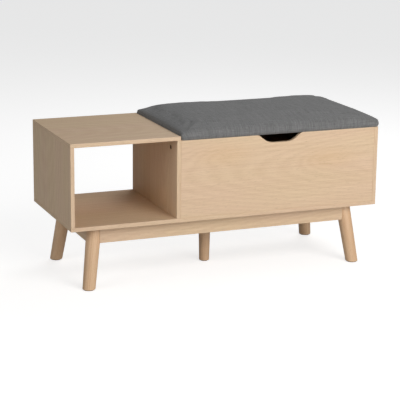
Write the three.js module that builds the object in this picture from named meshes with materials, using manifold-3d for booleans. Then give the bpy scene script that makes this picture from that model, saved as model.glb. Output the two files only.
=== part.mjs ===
// A storage bench: an open cubby at the left, a storage box with a padded lift-up seat at the
// right, both made of thin oak-faced boards, on a rail frame with five turned wooden legs.
// Millimetres. X runs to the right, Y to the back, Z up. The origin is on the floor, under the
// middle of the body.
import * as THREE from "three";
import { mergeVertices } from "three/addons/utils/BufferGeometryUtils.js";
import { RoundedBoxGeometry } from "three/addons/geometries/RoundedBoxGeometry.js";
import Module from "manifold-3d";

const wasm = await Module();
wasm.setup();

// ---------------------------------------------------------------- driving dimensions

// Body
const bodyWidth = 1000;
const bodyDepth = 395;
const bodyHeight = 262;
const boardThickness = 12;
const boardEdgeRounding = 0.8;
const cubbyWidth = 317;
const rimStep = 1; // the storage walls stop this much below the underside of the cubby top

// Finger notch in the front panel
const notchDepth = 25.5;
const notchFlatHalf = 22;
const notchFloorRadius = 48;
const notchFlareRadius = 15;
const notchSlopeDeg = 37;

// Seat lid
const lidGap = 3; // between the cubby top's end and the lid
const coverThickness = 1.2;
const foamGap = 0.6; // between the foam and the cover
const hemWidth = 16;
const cushionSideHeight = 18; // the cover's upright side, from the rim up
const cushionCrown = 32; // from the top of that side to the crest
const crownFullnessX = 8; // how late the crown falls off towards its ends
const crownFullnessY = 4; // and towards its front and back
const crownSharpness = 1 / 2.2; // how steeply it rises from its edge
const crownStepsX = 14;
const crownStepsY = 10;

// Base
const legHeight = 188;
const legTopRadius = 22.5;
const legFootRadius = 19.5;
const legTopInsetX = 88; // from the body's end to the leg's axis, at the leg's top
const legTopInsetY = 55.5;
const legSplayX = 26.5; // how much further out the axis stands at the floor
const legSplayY = 28;
const legFootChamfer = 1.5;
const centreLegTopRadius = 19;
const centreLegFootRadius = 16;
const railHeight = 50;
const railThickness = 18;
const railLap = 10; // a rail's end stops this much short of the leg's axis
const glideThickness = 2;
const glideInset = 3; // the glide's rim, inside the foot's rim

// Leg fixings
const braceThickness = 2;
const braceHeight = 36;
const braceTab = 22;
const braceLegGap = 4.5;
const hangerBoltRadius = 4;
const hangerBoltReach = 30; // into the leg
const hangerNutRadius = 7.5;
const hangerNutHeight = 6.5;
const nutSides = 6;
const hangerBoltTail = 3; // past the nut
const centreBoltReach = 30; // into the rail, and as much into the leg

// Cam fittings that hold the cubby top
const camRadius = 7.2;
const camLength = 9;
const camBelowTop = 30;
const camFromEdge = 55;
const camSlotHalfLength = 5; // of the cross slot in its face
const camSlotWidth = 1.6;
const camSlotDepth = 2;

// Hinges
const hingeLength = 50;
const hingeInset = 110; // from the lid's end to the hinge's middle
const leafThickness = 1.5;
const knuckleRadius = 3;
const hingePinRadius = 1.5;
const hingePinClearance = 0.06;
const knuckleGap = 0.3;
const bodyLeafDrop = 32; // down the back panel, from the axis
const lidLeafReach = 36; // under the lid, from the axis
const screwHeadRadius = 3;
const screwHeadRim = 0.2; // the head's upright edge
const screwShankRadius = 1.5;
const screwLength = 10;
const screwTip = 3;
const screwSpacing = 30;
const screwFromLeafEnd = 12;

// Folding lid stay
const stayThickness = 2;
const stayWidth = 14;
const stayGap = 0.5; // between two layers of the stay
const stayWallPivotForward = 50.5; // in front of the hinge axis
const stayWallPivotBelowRim = 102;
const stayLidPivotForward = 110.5; // in front of the hinge axis, with the lid closed
const stayLidPivotDrop = 16; // below the lid board
const stayTail = 19; // the lower arm runs this far past the elbow
const stayPegRadius = 2;
const stayPegReach = 14; // from the elbow to the stop peg
const stayEarWidth = 24;
const stayFlangeLength = 44;
const stayFlangeWidth = 24;
const wallPlateSize = 40;
const rivetRadius = 2;
const rivetHeadRadius = 4;
const rivetHeadHeight = 0.8;
const lidOpenDeg = 90;

// Clearance between a piece and the bore or notch cut for it
const fitGap = 0.3;

// How far a cutting tool runs past the face it cuts
const past = 1;

// Flats on a round piece, by its size
const smallSides = 12; // screws and rivets
const boltSides = 16;
const hingeSides = 20;
const glideSides = 24;
const legSides = 28;

// ---------------------------------------------------------------- levels and lines

const bodyRight = bodyWidth / 2;
const bodyLeft = -bodyRight;
const bodyBack = bodyDepth / 2;
const bodyFront = -bodyBack;
const floorBoardBottom = legHeight;
const floorBoardTop = floorBoardBottom + boardThickness;
const bodyTop = legHeight + bodyHeight;
const cubbyTopBottom = bodyTop - boardThickness;
const rimHeight = cubbyTopBottom - rimStep;
const dividerLeft = bodyLeft + boardThickness + cubbyWidth;
const dividerRight = dividerLeft + boardThickness;
const boxRight = bodyRight - boardThickness;

const lidLeft = dividerRight + lidGap;
const lidRight = bodyRight;
const lidBoardBottom = rimHeight + leafThickness;

const hingeAxisY = bodyBack + knuckleRadius;
const hingeAxisZ = lidBoardBottom - knuckleRadius;

const legTopX = bodyRight - legTopInsetX;
const legTopY = bodyBack - legTopInsetY;
const railBottom = legHeight - railHeight;
const longRailOuter = legTopY + legTopRadius;
const longRailInner = longRailOuter - railThickness;
const sideRailOuter = legTopX + legTopRadius;
const sideRailInner = sideRailOuter - railThickness;

// ---------------------------------------------------------------- materials

function finish(color, roughness, metalness = 0) {
  return new THREE.MeshStandardMaterial({ color, roughness, metalness });
}

const oakFoil = finish(0xd9be9e, 0.55);
const turnedWood = finish(0xdcb994, 0.5);
const greyWeave = finish(0x6a6a6b, 0.95);
const paleFoam = finish(0xe6dfc8, 0.9);
const zincSteel = finish(0xb4b6b8, 0.35, 0.9);
const blackPlastic = finish(0x232324, 0.6);

// ---------------------------------------------------------------- helpers

const bench = new THREE.Group();

function addPiece(name, geometry, material, parent = bench) {
  const mesh = new THREE.Mesh(geometry, material);
  mesh.name = name;
  parent.add(mesh);
  return mesh;
}

// A geometry as a solid that can be cut and joined.
function solid(geometry) {
  const bare = new THREE.BufferGeometry();
  const source = geometry.index ? geometry.toNonIndexed() : geometry;
  bare.setAttribute("position", source.getAttribute("position"));
  const merged = mergeVertices(bare, 1e-4);
  return new wasm.Manifold(
    new wasm.Mesh({
      numProp: 3,
      vertProperties: merged.attributes.position.array,
      triVerts: new Uint32Array(merged.index.array),
    }),
  );
}

function geometryOf(made) {
  const mesh = made.getMesh();
  const geometry = new THREE.BufferGeometry();
  geometry.setAttribute("position", new THREE.BufferAttribute(mesh.vertProperties, 3));
  geometry.setIndex(new THREE.BufferAttribute(mesh.triVerts, 1));
  geometry.computeVertexNormals();
  return geometry;
}

function cut(base, ...tools) {
  const made = tools.reduce((rest, tool) => rest.subtract(solid(tool)), solid(base));
  return geometryOf(made);
}

function join(...pieces) {
  const made = pieces.map(solid).reduce((whole, piece) => whole.add(piece));
  return geometryOf(made);
}

// A box between two opposite corners.
function block([x0, y0, z0], [x1, y1, z1]) {
  const box = new THREE.BoxGeometry(x1 - x0, y1 - y0, z1 - z0);
  return box.translate((x0 + x1) / 2, (y0 + y1) / 2, (z0 + z1) / 2);
}

// A board between two opposite corners, its edges eased.
function board([x0, y0, z0], [x1, y1, z1]) {
  const box = new RoundedBoxGeometry(x1 - x0, y1 - y0, z1 - z0, 1, boardEdgeRounding);
  return box.translate((x0 + x1) / 2, (y0 + y1) / 2, (z0 + z1) / 2);
}

// A round bar from one point to another.
function bar(from, to, radius, sides = boltSides) {
  const start = new THREE.Vector3(...from);
  const run = new THREE.Vector3(...to).sub(start);
  const turn = new THREE.Quaternion().setFromUnitVectors(
    new THREE.Vector3(0, 1, 0),
    run.clone().normalize(),
  );
  return new THREE.CylinderGeometry(radius, radius, run.length(), sides)
    .applyQuaternion(turn)
    .translate(...start.addScaledVector(run, 0.5).toArray());
}

// A lathe profile of [radius, height] points, turned about Z.
function turned(profile, sides = legSides) {
  const points = profile.map(([radius, height]) => new THREE.Vector2(radius, height));
  return new THREE.LatheGeometry(points, sides).rotateX(Math.PI / 2);
}

// ---------------------------------------------------------------- carcass

function buildPanels() {
  addPiece(
    "bottom_panel",
    board([bodyLeft, bodyFront, floorBoardBottom], [bodyRight, bodyBack, floorBoardTop]),
    oakFoil,
  );
  addPiece(
    "left_side_panel",
    cut(
      board(
        [bodyLeft, bodyFront, floorBoardTop],
        [bodyLeft + boardThickness, bodyBack, cubbyTopBottom],
      ),
      ...camPlaces("left").map(camBore),
    ),
    oakFoil,
  );
  addPiece(
    "divider_panel",
    cut(
      board([dividerLeft, bodyFront, floorBoardTop], [dividerRight, bodyBack, cubbyTopBottom]),
      ...camPlaces("divider").map(camBore),
    ),
    oakFoil,
  );
  addPiece(
    "right_side_panel",
    board([boxRight, bodyFront, floorBoardTop], [bodyRight, bodyBack, rimHeight]),
    oakFoil,
  );
  addPiece(
    "cubby_top_panel",
    board([bodyLeft, bodyFront, cubbyTopBottom], [dividerRight, bodyBack, bodyTop]),
    oakFoil,
  );
  addPiece("front_panel", frontPanel(), oakFoil);
  addPiece(
    "back_panel",
    cut(
      board([dividerRight, bodyBack - boardThickness, floorBoardTop], [boxRight, bodyBack, rimHeight]),
      ...hingeMiddles().flatMap((x) => bodyLeafScrews(x).map(screwBore)),
    ),
    oakFoil,
  );
}

// The storage front: a board with a flared, flat-bottomed finger notch in the middle of its top.
function frontPanel() {
  const slope = THREE.MathUtils.degToRad(notchSlopeDeg);
  const middle = (dividerRight + boxRight) / 2;
  const notchFloor = rimHeight - notchDepth;
  const floorRun = notchFloorRadius * Math.sin(slope);
  const floorRise = notchFloorRadius * (1 - Math.cos(slope));
  const flareRun = notchFlareRadius * Math.sin(slope);
  const flareRise = notchFlareRadius * (1 - Math.cos(slope));
  const slopeRun = (notchDepth - floorRise - flareRise) / Math.tan(slope);
  const mouthHalf = notchFlatHalf + floorRun + slopeRun + flareRun;

  const outline = new THREE.Shape();
  outline.moveTo(dividerRight, floorBoardTop);
  outline.lineTo(boxRight, floorBoardTop);
  outline.lineTo(boxRight, rimHeight);
  outline.lineTo(middle + mouthHalf, rimHeight);
  outline.absarc(
    middle + mouthHalf,
    rimHeight - notchFlareRadius,
    notchFlareRadius,
    Math.PI / 2,
    Math.PI / 2 + slope,
    false,
  );
  outline.absarc(
    middle + notchFlatHalf,
    notchFloor + notchFloorRadius,
    notchFloorRadius,
    -Math.PI / 2 + slope,
    -Math.PI / 2,
    true,
  );
  outline.absarc(
    middle - notchFlatHalf,
    notchFloor + notchFloorRadius,
    notchFloorRadius,
    -Math.PI / 2,
    -Math.PI / 2 - slope,
    true,
  );
  outline.absarc(
    middle - mouthHalf,
    rimHeight - notchFlareRadius,
    notchFlareRadius,
    Math.PI / 2 - slope,
    Math.PI / 2,
    false,
  );
  outline.lineTo(dividerRight, rimHeight);
  outline.closePath();

  const panel = new THREE.ExtrudeGeometry(outline, {
    depth: boardThickness - 2 * boardEdgeRounding,
    bevelEnabled: true,
    bevelThickness: boardEdgeRounding,
    bevelSize: boardEdgeRounding,
    bevelOffset: -boardEdgeRounding,
    bevelSegments: 1,
    curveSegments: 7,
  });
  return panel.rotateX(Math.PI / 2).translate(0, bodyFront + boardThickness - boardEdgeRounding, 0);
}

// ---------------------------------------------------------------- cam fittings

// Each cam sits in a blind bore in a cubby wall, under the cubby top: its mouth and its direction.
function camPlaces(wall) {
  const mouth = wall === "divider" ? dividerLeft : bodyLeft + boardThickness;
  const inward = wall === "divider" ? 1 : -1;
  const fromMiddle = bodyBack - camFromEdge;
  return [-fromMiddle, fromMiddle].map((y) => ({ mouth, inward, y }));
}

function camBar({ mouth, inward, y }, start, end, radius) {
  const z = cubbyTopBottom - camBelowTop;
  return bar([mouth + inward * start, y, z], [mouth + inward * end, y, z], radius);
}

function camBore(place) {
  return camBar(place, -past, camLength + fitGap, camRadius + fitGap);
}

function buildCams() {
  for (const wall of ["left", "divider"]) {
    camPlaces(wall).forEach((place, index) => {
      const z = cubbyTopBottom - camBelowTop;
      const slotFloor = place.mouth + place.inward * camSlotDepth;
      const slotMouth = place.mouth - place.inward * past;
      const slotX = [Math.min(slotFloor, slotMouth), Math.max(slotFloor, slotMouth)];
      const half = camSlotWidth / 2;
      const reach = camSlotHalfLength;
      const cam = cut(
        camBar(place, 0, camLength, camRadius),
        block([slotX[0], place.y - reach, z - half], [slotX[1], place.y + reach, z + half]),
        block([slotX[0], place.y - half, z - reach], [slotX[1], place.y + half, z + reach]),
      );
      addPiece(`cam_lock_${wall}_${index ? "back" : "front"}`, cam, zincSteel);
    });
  }
}

// ---------------------------------------------------------------- screws

// A countersunk screw, grown all round: place is the head's face, dir the way it drives.
function screwShape({ place, dir }, grow = 0) {
  const profile = [
    [0, -grow],
    [screwHeadRadius + grow, -grow],
    [screwHeadRadius + grow, screwHeadRim + grow / 2],
    [screwShankRadius + grow, leafThickness + grow / 2],
    [screwShankRadius + grow, screwLength - screwTip],
    [0, screwLength + grow],
  ];
  const turn = new THREE.Quaternion().setFromUnitVectors(
    new THREE.Vector3(0, 0, 1),
    new THREE.Vector3(...dir),
  );
  return turned(profile, smallSides).applyQuaternion(turn).translate(...place);
}

function screwBore(screw) {
  return screwShape(screw, fitGap);
}

// ---------------------------------------------------------------- hinges

function hingeMiddles() {
  return [lidLeft + hingeInset, lidRight - hingeInset];
}

function bodyLeafScrews(x) {
  const z = hingeAxisZ - bodyLeafDrop + screwFromLeafEnd;
  return [-1, 1].map((side) => ({
    place: [x + (side * screwSpacing) / 2, bodyBack + leafThickness, z],
    dir: [0, -1, 0],
  }));
}

function lidLeafScrews(x) {
  const y = hingeAxisY - lidLeafReach + screwFromLeafEnd;
  return [-1, 1].map((side) => ({
    place: [x + (side * screwSpacing) / 2, y, lidBoardBottom - leafThickness],
    dir: [0, 0, 1],
  }));
}

// The room that a lid leaf needs in the cover's turned-under hem.
function lidLeafRoom(x) {
  const half = hingeLength / 2 + fitGap;
  return block(
    [x - half, hingeAxisY - lidLeafReach - fitGap, rimHeight - past],
    [x + half, hingeAxisY, lidBoardBottom + fitGap],
  );
}

function barrel(x0, x1, radius) {
  return bar([x0, hingeAxisY, hingeAxisZ], [x1, hingeAxisY, hingeAxisZ], radius, hingeSides);
}

function buildHinges() {
  hingeMiddles().forEach((x, index) => {
    const side = index ? "right" : "left";
    const half = hingeLength / 2;
    const third = hingeLength / 6;
    const bore = barrel(x - half - past, x + half + past, hingePinRadius + hingePinClearance);

    const bodyPlate = block(
      [x - half, bodyBack, hingeAxisZ - bodyLeafDrop],
      [x + half, bodyBack + leafThickness, hingeAxisZ],
    );
    const lidRoom = block(
      [x - third - knuckleGap, bodyBack - past, hingeAxisZ - knuckleRadius - knuckleGap],
      [x + third + knuckleGap, hingeAxisY + knuckleRadius + past, lidBoardBottom + past],
    );
    addPiece(
      `hinge_body_leaf_${side}`,
      cut(
        join(bodyPlate, barrel(x - half, x + half, knuckleRadius)),
        lidRoom,
        bore,
        ...bodyLeafScrews(x).map(screwBore),
      ),
      zincSteel,
    );

    const lidPlate = block(
      [x - half, hingeAxisY - lidLeafReach, lidBoardBottom - leafThickness],
      [x + half, hingeAxisY, lidBoardBottom],
    );
    const bodyRooms = [-1, 1].map((end) => {
      const inner = x + end * (third - knuckleGap / 2);
      const outer = x + end * (half + past);
      return block(
        [Math.min(inner, outer), bodyBack - knuckleGap, hingeAxisZ - knuckleRadius - past],
        [Math.max(inner, outer), hingeAxisY + knuckleRadius + past, lidBoardBottom + past],
      );
    });
    addPiece(
      `hinge_lid_leaf_${side}`,
      cut(
        join(lidPlate, barrel(x - third, x + third, knuckleRadius)),
        ...bodyRooms,
        bore,
        ...lidLeafScrews(x).map(screwBore),
      ),
      zincSteel,
    );

    addPiece(`hinge_pin_${side}`, barrel(x - half, x + half, hingePinRadius), zincSteel);
    bodyLeafScrews(x).forEach((screw, i) => {
      addPiece(`hinge_body_screw_${side}_${i + 1}`, screwShape(screw), zincSteel);
    });
    lidLeafScrews(x).forEach((screw, i) => {
      addPiece(`hinge_lid_screw_${side}_${i + 1}`, screwShape(screw), zincSteel);
    });
  });
}

// ---------------------------------------------------------------- lid

// A padded slab: upright sides up to the shoulder, then a crowned top that rises to the crest.
function crownedSlab([x0, y0, bottom], [x1, y1, shoulder], crest) {
  const slab = new THREE.BoxGeometry(2, 2, 2, crownStepsX, crownStepsY, 1);
  const position = slab.getAttribute("position");
  const swell = (t, fullness) =>
    Math.pow(Math.max(0, 1 - Math.pow(Math.abs(t), fullness)), crownSharpness);
  for (let i = 0; i < position.count; i++) {
    const u = Math.sin((position.getX(i) * Math.PI) / 2);
    const v = Math.sin((position.getY(i) * Math.PI) / 2);
    const rise = (crest - shoulder) * swell(u, crownFullnessX) * swell(v, crownFullnessY);
    position.setXYZ(
      i,
      (x0 + x1) / 2 + (u * (x1 - x0)) / 2,
      (y0 + y1) / 2 + (v * (y1 - y0)) / 2,
      position.getZ(i) > 0 ? shoulder + rise : bottom,
    );
  }
  return slab;
}

function buildLid() {
  const shoulder = rimHeight + cushionSideHeight;
  const crest = shoulder + cushionCrown;
  const inset = coverThickness + fitGap;
  const foamInset = coverThickness + foamGap;
  const lidBoardTop = lidBoardBottom + boardThickness;

  addPiece(
    "lid_board",
    cut(
      block(
        [lidLeft + inset, bodyFront + inset, lidBoardBottom],
        [lidRight - inset, bodyBack - inset, lidBoardTop],
      ),
      ...hingeMiddles().flatMap((x) => lidLeafScrews(x).map(screwBore)),
    ),
    oakFoil,
  );

  addPiece(
    "seat_foam",
    crownedSlab(
      [lidLeft + foamInset, bodyFront + foamInset, lidBoardTop],
      [lidRight - foamInset, bodyBack - foamInset, shoulder - foamInset],
      crest - foamInset,
    ),
    paleFoam,
  );

  const skin = coverThickness;
  const hemInset = skin + hemWidth;
  addPiece(
    "seat_cover",
    cut(
      crownedSlab([lidLeft, bodyFront, rimHeight], [lidRight, bodyBack, shoulder], crest),
      crownedSlab(
        [lidLeft + skin, bodyFront + skin, rimHeight + skin],
        [lidRight - skin, bodyBack - skin, shoulder - skin],
        crest - skin,
      ),
      block(
        [lidLeft + hemInset, bodyFront + hemInset, rimHeight - past],
        [lidRight - hemInset, bodyBack - hemInset, lidBoardTop],
      ),
      ...hingeMiddles().map(lidLeafRoom),
    ),
    greyWeave,
  );
}

// ---------------------------------------------------------------- lid stay

// The stay lies in planes parallel to the right wall. Its four pivots (the lid's axis, the wall
// pivot, the elbow and the lid pivot) form a parallelogram, so the lower arm turns exactly as the
// lid does and the upper arm keeps its direction.
const stayPlateX = boxRight - stayThickness;
const lowerArmX = stayPlateX - stayGap - stayThickness;
const upperArmX = lowerArmX - stayGap - stayThickness;
const stayEarX = upperArmX - stayGap - stayThickness;
const wallPivot = new THREE.Vector2(
  hingeAxisY - stayWallPivotForward,
  rimHeight - stayWallPivotBelowRim,
);
const lidPivot = new THREE.Vector2(
  hingeAxisY - stayLidPivotForward,
  lidBoardBottom - stayLidPivotDrop,
);
const elbow = new THREE.Vector2(
  lidPivot.x + wallPivot.x - hingeAxisY,
  lidPivot.y + wallPivot.y - hingeAxisZ,
);

// A flat piece from an outline in (Y, Z), standing from x to x + thickness.
function plateAcrossX(outline, x, thickness) {
  const toYZ = new THREE.Matrix4().makeBasis(
    new THREE.Vector3(0, 1, 0),
    new THREE.Vector3(0, 0, 1),
    new THREE.Vector3(1, 0, 0),
  );
  return new THREE.ExtrudeGeometry(outline, {
    depth: thickness,
    bevelEnabled: false,
    curveSegments: 8,
  })
    .applyMatrix4(toYZ)
    .translate(x, 0, 0);
}

function armOutline(from, to) {
  const half = stayWidth / 2;
  const heading = to.clone().sub(from).angle();
  const outline = new THREE.Shape();
  outline.absarc(from.x, from.y, half, heading + Math.PI / 2, heading + (3 * Math.PI) / 2, false);
  outline.absarc(to.x, to.y, half, heading - Math.PI / 2, heading + Math.PI / 2, false);
  outline.closePath();
  return outline;
}

// A round bar along X, through a pivot.
function pivotBar(pivot, x0, x1, radius) {
  return bar([x0, pivot.x, pivot.y], [x1, pivot.x, pivot.y], radius, smallSides);
}

function rivetBore(pivot) {
  return pivotBar(pivot, stayEarX - past, boxRight + past, rivetRadius + fitGap);
}

// A rivet through the layers between two planes, with a head outside each of the planes.
function rivet(pivot, x0, x1) {
  const left = x0 - fitGap;
  const right = x1 + fitGap;
  return join(
    pivotBar(pivot, left, right, rivetRadius),
    pivotBar(pivot, left - rivetHeadHeight, left, rivetHeadRadius),
    pivotBar(pivot, right, right + rivetHeadHeight, rivetHeadRadius),
  );
}

function buildStay() {
  const wallPlate = new THREE.Shape();
  const plateHalf = wallPlateSize / 2;
  wallPlate.moveTo(wallPivot.x - plateHalf, wallPivot.y - stayWidth / 2);
  wallPlate.lineTo(wallPivot.x + plateHalf, wallPivot.y - stayWidth / 2);
  wallPlate.lineTo(wallPivot.x + plateHalf, wallPivot.y + stayWidth / 2);
  wallPlate.lineTo(wallPivot.x - plateHalf, wallPivot.y + stayWidth / 2);
  wallPlate.closePath();
  addPiece(
    "stay_wall_plate",
    cut(plateAcrossX(wallPlate, stayPlateX, stayThickness), rivetBore(wallPivot)),
    zincSteel,
  );

  // The stop peg stands where the upper arm's edge arrives when the lid is fully open.
  const alongArm = elbow.clone().sub(wallPivot).normalize();
  const closedAngle = lidPivot.clone().sub(elbow).angle() - wallPivot.clone().sub(elbow).angle();
  const openAngle = closedAngle + THREE.MathUtils.degToRad(lidOpenDeg);
  const pegAside = Math.asin((stayWidth / 2 + stayPegRadius + fitGap) / stayPegReach);
  const pegHeading = wallPivot.clone().sub(elbow).angle() + openAngle + pegAside;
  const peg = new THREE.Vector2(
    elbow.x + stayPegReach * Math.cos(pegHeading),
    elbow.y + stayPegReach * Math.sin(pegHeading),
  );
  const tailEnd = elbow.clone().addScaledVector(alongArm, stayTail - stayWidth / 2);
  addPiece(
    "stay_lower_arm",
    cut(
      join(
        plateAcrossX(armOutline(wallPivot, tailEnd), lowerArmX, stayThickness),
        pivotBar(peg, upperArmX, lowerArmX + stayThickness / 2, stayPegRadius),
      ),
      rivetBore(wallPivot),
      rivetBore(elbow),
    ),
    zincSteel,
  );
  addPiece(
    "stay_upper_arm",
    cut(
      plateAcrossX(armOutline(elbow, lidPivot), upperArmX, stayThickness),
      rivetBore(elbow),
      rivetBore(lidPivot),
    ),
    zincSteel,
  );

  const earRight = stayEarX + stayThickness;
  const ear = block(
    [stayEarX, lidPivot.x - stayEarWidth / 2, lidPivot.y - stayWidth / 2],
    [earRight, lidPivot.x + stayEarWidth / 2, lidBoardBottom],
  );
  const flange = block(
    [earRight - stayFlangeWidth, lidPivot.x - stayFlangeLength / 2, lidBoardBottom - stayThickness],
    [earRight, lidPivot.x + stayFlangeLength / 2, lidBoardBottom],
  );
  addPiece("stay_lid_bracket", cut(join(ear, flange), rivetBore(lidPivot)), zincSteel);

  // The wall rivet ends inside its plate, clear of the wall.
  const wallRivetEnd = stayPlateX + stayThickness - 2 * fitGap;
  const headBase = lowerArmX - fitGap;
  addPiece(
    "stay_wall_rivet",
    join(
      pivotBar(wallPivot, headBase, wallRivetEnd, rivetRadius),
      pivotBar(wallPivot, headBase - rivetHeadHeight, headBase, rivetHeadRadius),
    ),
    zincSteel,
  );
  addPiece("stay_elbow_rivet", rivet(elbow, upperArmX, lowerArmX + stayThickness), zincSteel);
  addPiece("stay_lid_rivet", rivet(lidPivot, stayEarX, upperArmX + stayThickness), zincSteel);
}

// ---------------------------------------------------------------- base

function buildRails() {
  const longEnd = legTopX - railLap;
  const sideEnd = legTopY - railLap;
  for (const [name, side] of [["front", -1], ["back", 1]]) {
    const y = [side * longRailInner, side * longRailOuter].sort((a, b) => a - b);
    addPiece(
      `${name}_rail`,
      board([-longEnd, y[0], railBottom], [longEnd, y[1], legHeight]),
      oakFoil,
    );
  }
  for (const [name, side] of [["left", -1], ["right", 1]]) {
    const x = [side * sideRailInner, side * sideRailOuter].sort((a, b) => a - b);
    addPiece(
      `${name}_rail`,
      board([x[0], -sideEnd, railBottom], [x[1], sideEnd, legHeight]),
      oakFoil,
    );
  }
  const half = railThickness / 2;
  addPiece(
    "centre_rail",
    cut(
      board([-half, -longRailInner, railBottom], [half, longRailInner, legHeight]),
      bar(
        [0, 0, railBottom - past],
        [0, 0, railBottom + centreBoltReach + fitGap],
        hangerBoltRadius + fitGap,
      ),
    ),
    oakFoil,
  );
}

// A tapered leg with a chamfered foot, its axis leaning outward from the top to the floor.
function leg(topRadius, footRadius, height, splayX, splayY) {
  const profile = [
    [0, glideThickness],
    [footRadius - legFootChamfer, glideThickness],
    [footRadius, glideThickness + legFootChamfer],
    [topRadius, height],
    [0, height],
  ];
  const lean = new THREE.Matrix4().set(
    1, 0, -splayX / height, splayX,
    0, 1, -splayY / height, splayY,
    0, 0, 1, 0,
    0, 0, 0, 1,
  );
  return turned(profile).applyMatrix4(lean);
}

// One corner of the base, in the back right quarter: the other three are its mirror images.
function buildCorner(name, sideX, sideY) {
  const corner = new THREE.Group();
  corner.scale.set(sideX, sideY, 1);
  bench.add(corner);

  const boltZ = legHeight - railHeight / 2;
  const lean = (legHeight - boltZ) / legHeight;
  const axis = new THREE.Vector2(legTopX + legSplayX * lean, legTopY + legSplayY * lean);
  const diagonal = new THREE.Vector2(1, 1).normalize();
  const faceSum = legTopX + legTopY - (legTopRadius + braceLegGap) * Math.SQRT2;
  const faceFromAxis = (axis.x + axis.y - faceSum) / Math.SQRT2;
  // A point on the bolt's line, so far inward of the brace's outer face.
  const boltPoint = (inward) => {
    const point = axis.clone().addScaledVector(diagonal, -faceFromAxis - inward);
    return [point.x, point.y, boltZ];
  };
  const nutBase = braceThickness + fitGap;
  const boltStart = nutBase + hangerNutHeight + hangerBoltTail;
  const boltEnd = -braceLegGap - hangerBoltReach;

  const railNotches = [
    block(
      [0, longRailInner - fitGap, railBottom - fitGap],
      [legTopX - railLap + fitGap, longRailOuter + legTopRadius, legHeight + past],
    ),
    block(
      [sideRailInner - fitGap, 0, railBottom - fitGap],
      [sideRailOuter + legTopRadius, legTopY - railLap + fitGap, legHeight + past],
    ),
  ];
  const boltBore = bar(
    boltPoint(boltStart),
    boltPoint(boltEnd - fitGap),
    hangerBoltRadius + fitGap,
  );
  addPiece(
    `${name}_leg`,
    cut(
      leg(legTopRadius, legFootRadius, legHeight, legSplayX, legSplayY).translate(
        legTopX,
        legTopY,
        0,
      ),
      ...railNotches,
      boltBore,
    ),
    turnedWood,
    corner,
  );

  const glide = new THREE.CylinderGeometry(
    legFootRadius - glideInset,
    legFootRadius - glideInset,
    glideThickness,
    glideSides,
  )
    .rotateX(Math.PI / 2)
    .translate(legTopX + legSplayX, legTopY + legSplayY, glideThickness / 2);
  addPiece(`${name}_glide`, glide, blackPlastic, corner);

  // The corner brace: a steel strip bent across the corner, a tab flat on each rail.
  const t = braceThickness;
  const bevel = t * Math.tan(Math.PI / 8);
  const outer = [
    [faceSum - longRailInner - braceTab, longRailInner],
    [faceSum - longRailInner, longRailInner],
    [sideRailInner, faceSum - sideRailInner],
    [sideRailInner, faceSum - sideRailInner - braceTab],
  ];
  const inner = [
    [sideRailInner - t, faceSum - sideRailInner - braceTab],
    [sideRailInner - t, faceSum - sideRailInner - bevel],
    [faceSum - longRailInner - bevel, longRailInner - t],
    [faceSum - longRailInner - braceTab, longRailInner - t],
  ];
  const strip = new THREE.Shape([...outer, ...inner].map(([x, y]) => new THREE.Vector2(x, y)));
  const brace = new THREE.ExtrudeGeometry(strip, { depth: braceHeight, bevelEnabled: false });
  brace.translate(0, 0, boltZ - braceHeight / 2);
  addPiece(`${name}_corner_brace`, cut(brace, boltBore), zincSteel, corner);

  addPiece(
    `${name}_hanger_bolt`,
    join(
      bar(boltPoint(boltStart), boltPoint(boltEnd), hangerBoltRadius),
      bar(boltPoint(nutBase + hangerNutHeight), boltPoint(nutBase), hangerNutRadius, nutSides),
    ),
    zincSteel,
    corner,
  );
}

function buildCentreLeg() {
  const boltFrom = railBottom - centreBoltReach;
  const boltTo = railBottom + centreBoltReach;
  addPiece(
    "centre_leg",
    cut(
      leg(centreLegTopRadius, centreLegFootRadius, railBottom, 0, 0),
      bar([0, 0, boltFrom - fitGap], [0, 0, railBottom + past], hangerBoltRadius + fitGap),
    ),
    turnedWood,
  );
  addPiece("centre_leg_bolt", bar([0, 0, boltFrom], [0, 0, boltTo], hangerBoltRadius), zincSteel);
  const radius = centreLegFootRadius - glideInset;
  const glide = new THREE.CylinderGeometry(radius, radius, glideThickness, glideSides)
    .rotateX(Math.PI / 2)
    .translate(0, 0, glideThickness / 2);
  addPiece("centre_glide", glide, blackPlastic);
}

// ---------------------------------------------------------------- the bench

buildPanels();
buildCams();
buildLid();
buildHinges();
buildStay();
buildRails();
for (const [depthName, sideY] of [["front", -1], ["back", 1]]) {
  for (const [sideName, sideX] of [["left", -1], ["right", 1]]) {
    buildCorner(`${depthName}_${sideName}`, sideX, sideY);
  }
}
buildCentreLeg();

export default bench;
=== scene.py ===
"""A storage bench: an open cubby and a box under a padded lift-up seat, on five turned legs.

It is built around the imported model, in metres, with X to the right, Y to the back and Z up."""

import math

import bmesh
import bpy
from mathutils import Matrix, Vector, noise


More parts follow.
